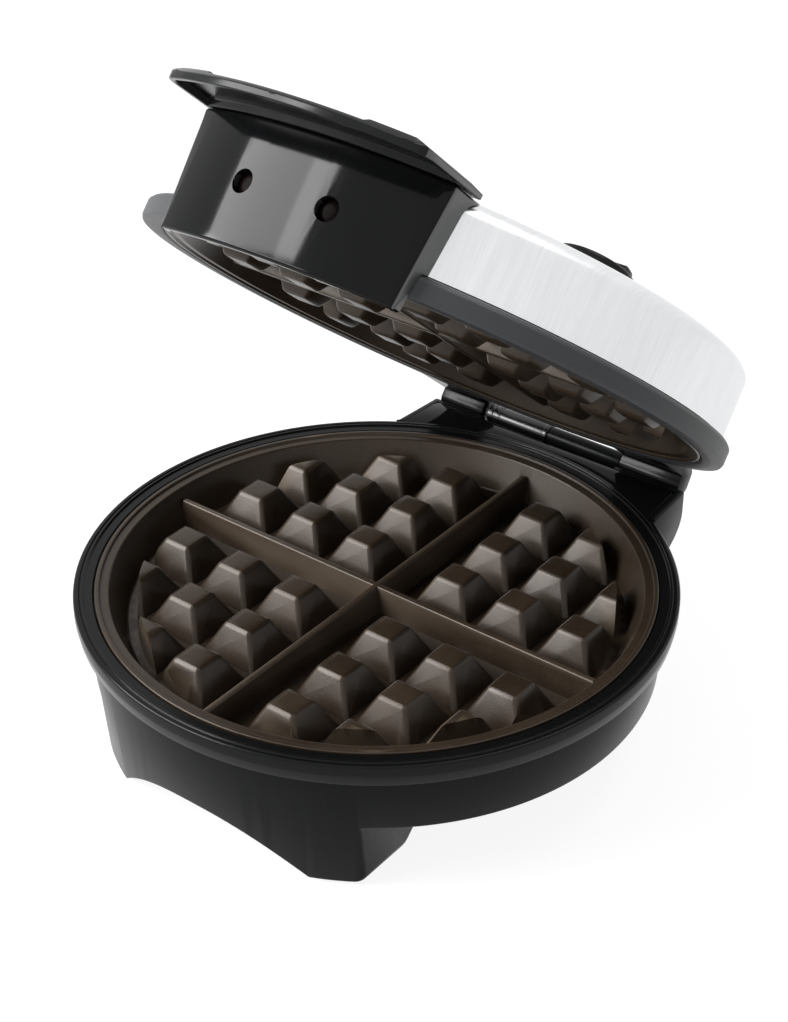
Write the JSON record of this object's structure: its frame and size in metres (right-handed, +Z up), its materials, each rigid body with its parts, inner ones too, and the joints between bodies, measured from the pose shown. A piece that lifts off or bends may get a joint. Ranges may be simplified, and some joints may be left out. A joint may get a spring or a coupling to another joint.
{
  "type": "belgian waffle maker",
  "caption": "Round waffle maker with a hinged dome lid, deep square-studded cooking plates, a front lift handle, pilot lamp holes and a rear browning dial.",
  "frame": {"origin": "on the table top, under the middle of the lower cooking plate", "axes": "-Y is the front, where the handle is; the lid's hinge runs along X at the back; +Z is up"},
  "size_m": [0.2094, 0.2457, 0.2443],
  "materials": {
    "gloss_black": "polished black plastic of the base rim, rear deck and front housing",
    "satin_black": "fine satin black plastic",
    "dark_grey": "matt dark grey plastic of the lid ring",
    "brushed_steel": "stainless steel with a fine brushed grain",
    "non_stick": "cast aluminium with a dark brown-black non-stick coating",
    "element_steel": "heat-darkened steel tube",
    "bright_sheet": "bright rolled sheet",
    "zinc_steel": "zinc-plated steel",
    "rubber": "matt black rubber",
    "ceramic": "unglazed steatite",
    "lamp_glass": "dark smoked lens"
  },
  "bodies": {
    "base": {"base_bottom_cover": "satin_black", "base_housing": "satin_black", "base_rim_and_deck": "gloss_black", "bottom_cover_screw_1": "zinc_steel", "bottom_cover_screw_2": "zinc_steel", "bottom_cover_screw_3": "zinc_steel", "bottom_cover_screw_4": "zinc_steel", "cord_inlet_bush": "rubber", "front_left_foot_pad": "rubber", "front_right_foot_pad": "rubber", "hinge_pin_left": "zinc_steel", "hinge_wire_tube_right": "zinc_steel", "lower_clamp_screw_front": "zinc_steel", "lower_clamp_screw_left": "zinc_steel", "lower_clamp_screw_right": "zinc_steel", "lower_cooking_plate": "non_stick", "lower_element_clamp_front": "zinc_steel", "lower_element_clamp_left": "zinc_steel", "lower_element_clamp_right": "zinc_steel", "lower_heat_reflector": "bright_sheet", "lower_heating_element": "element_steel", "lower_plate_screw_1": "zinc_steel", "lower_plate_screw_2": "zinc_steel", "lower_plate_screw_3": "zinc_steel", "lower_reflector_screw": "zinc_steel", "rear_left_foot_pad": "rubber", "rear_right_foot_pad": "rubber", "terminal_block": "ceramic", "thermal_fuse": "ceramic", "thermal_fuse_clip": "zinc_steel"},
    "lid": {"dial_bezel": "satin_black", "front_housing": "gloss_black", "front_housing_screw_left": "zinc_steel", "front_housing_screw_right": "zinc_steel", "handle_cover": "satin_black", "lamp_holder": "satin_black", "lamp_lens_left": "lamp_glass", "lamp_lens_right": "lamp_glass", "lid_ring": "dark_grey", "lid_shell": "brushed_steel", "neon_lamp_left": "lamp_glass", "neon_lamp_right": "lamp_glass", "thermostat": "ceramic", "upper_clamp_screw_front": "zinc_steel", "upper_clamp_screw_left": "zinc_steel", "upper_clamp_screw_right": "zinc_steel", "upper_cooking_plate": "non_stick", "upper_element_clamp_front": "zinc_steel", "upper_element_clamp_left": "zinc_steel", "upper_element_clamp_right": "zinc_steel", "upper_heat_reflector": "bright_sheet", "upper_heating_element": "element_steel", "upper_plate_screw_1": "zinc_steel", "upper_plate_screw_2": "zinc_steel", "upper_plate_screw_3": "zinc_steel", "upper_reflector_screw": "zinc_steel"},
    "dial": {"control_dial": "satin_black", "dial_shaft": "zinc_steel"}
  },
  "joints": [
    {"name": "lid_hinge", "type": "hinge", "parent": "base", "child": "lid", "pos_m": [0, 0.1155, 0.05406], "axis": [-1, 0, 0], "range_deg": [-40.62, 59.4]},
    {"name": "dial_turn", "type": "hinge", "parent": "lid", "child": "dial", "pos_m": [0, 0.11374, 0.10576], "axis": [0, 0.7404, 0.6722], "range_deg": [-135, 135]}
  ]
}
